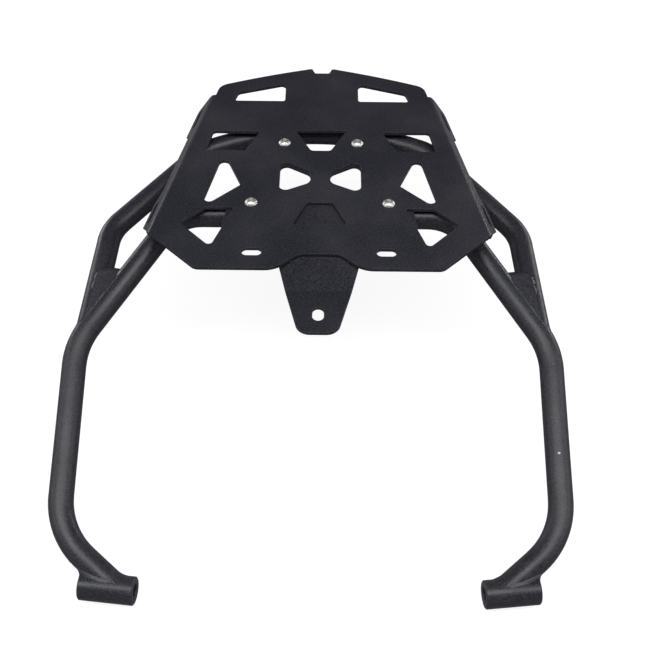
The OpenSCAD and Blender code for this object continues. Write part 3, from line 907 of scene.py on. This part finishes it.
# %% Sizes of the beads
STITCH_STARTS_MM, STITCH_MM = (-72, -20, 12, 42), 22
STITCH_ASIDE_MM, STITCH_Z_MM = 5.1, -6.9
FINGER_STITCHES_MM = ((-45, -30), (30, 45))
FINGER_Y_MM, FINGER_Z_MM = 71.6, -5.6
BOSS_X_MM, BOSS_RING_MM, BOSS_RING_POINTS = 56.7, 6.3, 48
BOSS_RING_SUNK_MM = 0.2
NUT_X_MM, NUT_Y_MM = 31.8, 39.7
TACK_TURNS_DEG, TACK_OUT_MM, TACK_HALF_MM, TACK_Z_MM = (30, 150, 270), 5.2, 1.6, -6.5
print("stitches:", 2 * len(STITCH_STARTS_MM) + len(FINGER_STITCHES_MM))


# %% Beads under the deck
def path_piece(name, runs):
    curve = bpy.data.curves.new(name, "CURVE")
    curve.dimensions = "3D"
    for points, closed in runs:
        spline = curve.splines.new("POLY")
        spline.points.add(len(points) - 1)
        for spot, point in zip(spline.points, points):
            spot.co = (*[c * MM for c in point], 1)
        spline.use_cyclic_u = closed
    piece = bpy.data.objects.new(name, curve)
    bpy.context.collection.objects.link(piece)
    return piece


stitches = []
for x in STITCH_STARTS_MM:
    for way, _ in SIDES:
        y = NEAR_Y_MM + STITCH_ASIDE_MM * way
        stitches.append(([(x, y, STITCH_Z_MM), (x + STITCH_MM, y, STITCH_Z_MM)], False))
for x, x_end in FINGER_STITCHES_MM:
    stitches.append(([(x, FINGER_Y_MM, FINGER_Z_MM), (x_end, FINGER_Y_MM, FINGER_Z_MM)], False))
piece = path_piece("plate_welds", stitches)
made_pieces.append(run_tree(piece, bead_on_path, "powder_coat", Bead_Radius=1.7 * MM, Seed=7.0))

rings = []
for x in (-BOSS_X_MM, BOSS_X_MM):
    ring = []
    for i in range(BOSS_RING_POINTS):
        a = 2 * math.pi * i / BOSS_RING_POINTS
        dx, dy = BOSS_RING_MM * math.cos(a), BOSS_RING_MM * math.sin(a)
        z = TUBE_Z_MM - math.sqrt(TUBE_RADIUS_MM ** 2 - dy ** 2) + BOSS_RING_SUNK_MM
        ring.append((x + dx, NEAR_Y_MM + dy, z))
    rings.append((ring, True))
piece = path_piece("boss_welds", rings)
small = {"Bead_Radius": 1.1 * MM, "Lump_Height": 0.3 * MM}
made_pieces.append(run_tree(piece, bead_on_path, "powder_coat", Seed=9.0, **small))

tacks = []
for x in (-NUT_X_MM, NUT_X_MM):
    for turn in TACK_TURNS_DEG:
        out = Vector((math.cos(math.radians(turn)), math.sin(math.radians(turn)), 0))
        centre = Vector((x, NUT_Y_MM, TACK_Z_MM)) + out * TACK_OUT_MM
        way = Vector((-out.y, out.x, 0)) * TACK_HALF_MM
        tacks.append(([tuple(centre - way), tuple(centre + way)], False))
piece = path_piece("nut_welds", tacks)
small = {"Bead_Radius": 0.9 * MM, "Lump_Height": 0.3 * MM}
made_pieces.append(run_tree(piece, bead_on_path, "plated_steel", Seed=11.0, **small))
print("pieces so far:", len(made_pieces))

# %% Threads below the weld nuts
THREAD_Z_MM = -15.6
M6_THREAD = {"Thread_Radius": 2.85 * MM, "Pitch": 1.0 * MM, "Turns": 4.2, "Ridge": 0.32 * MM}

ends = bpy.data.meshes.new("screw_threads")
ends.from_pydata([(x * MM, NUT_Y_MM * MM, THREAD_Z_MM * MM) for x in (-NUT_X_MM, NUT_X_MM)], [], [])
piece = bpy.data.objects.new("screw_threads", ends)
bpy.context.collection.objects.link(piece)
made_pieces.append(run_tree(piece, thread, "stainless", **M6_THREAD))
print("pieces:", [piece.name for piece in made_pieces])

# %% [markdown]
# ## Sizes
#
# The new pieces are small and lie close to the steel, so the visual model keeps the imported model's
# box. Both boxes are printed.

# %% Print the sizes and finish
sizes = {"cad": [list(corner) for corner in cad_box], "visual": [list(corner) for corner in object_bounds()]}
for key, box in sizes.items():
    print(key, "box in mm:", [[round(c / MM, 2) for c in corner] for corner in box])
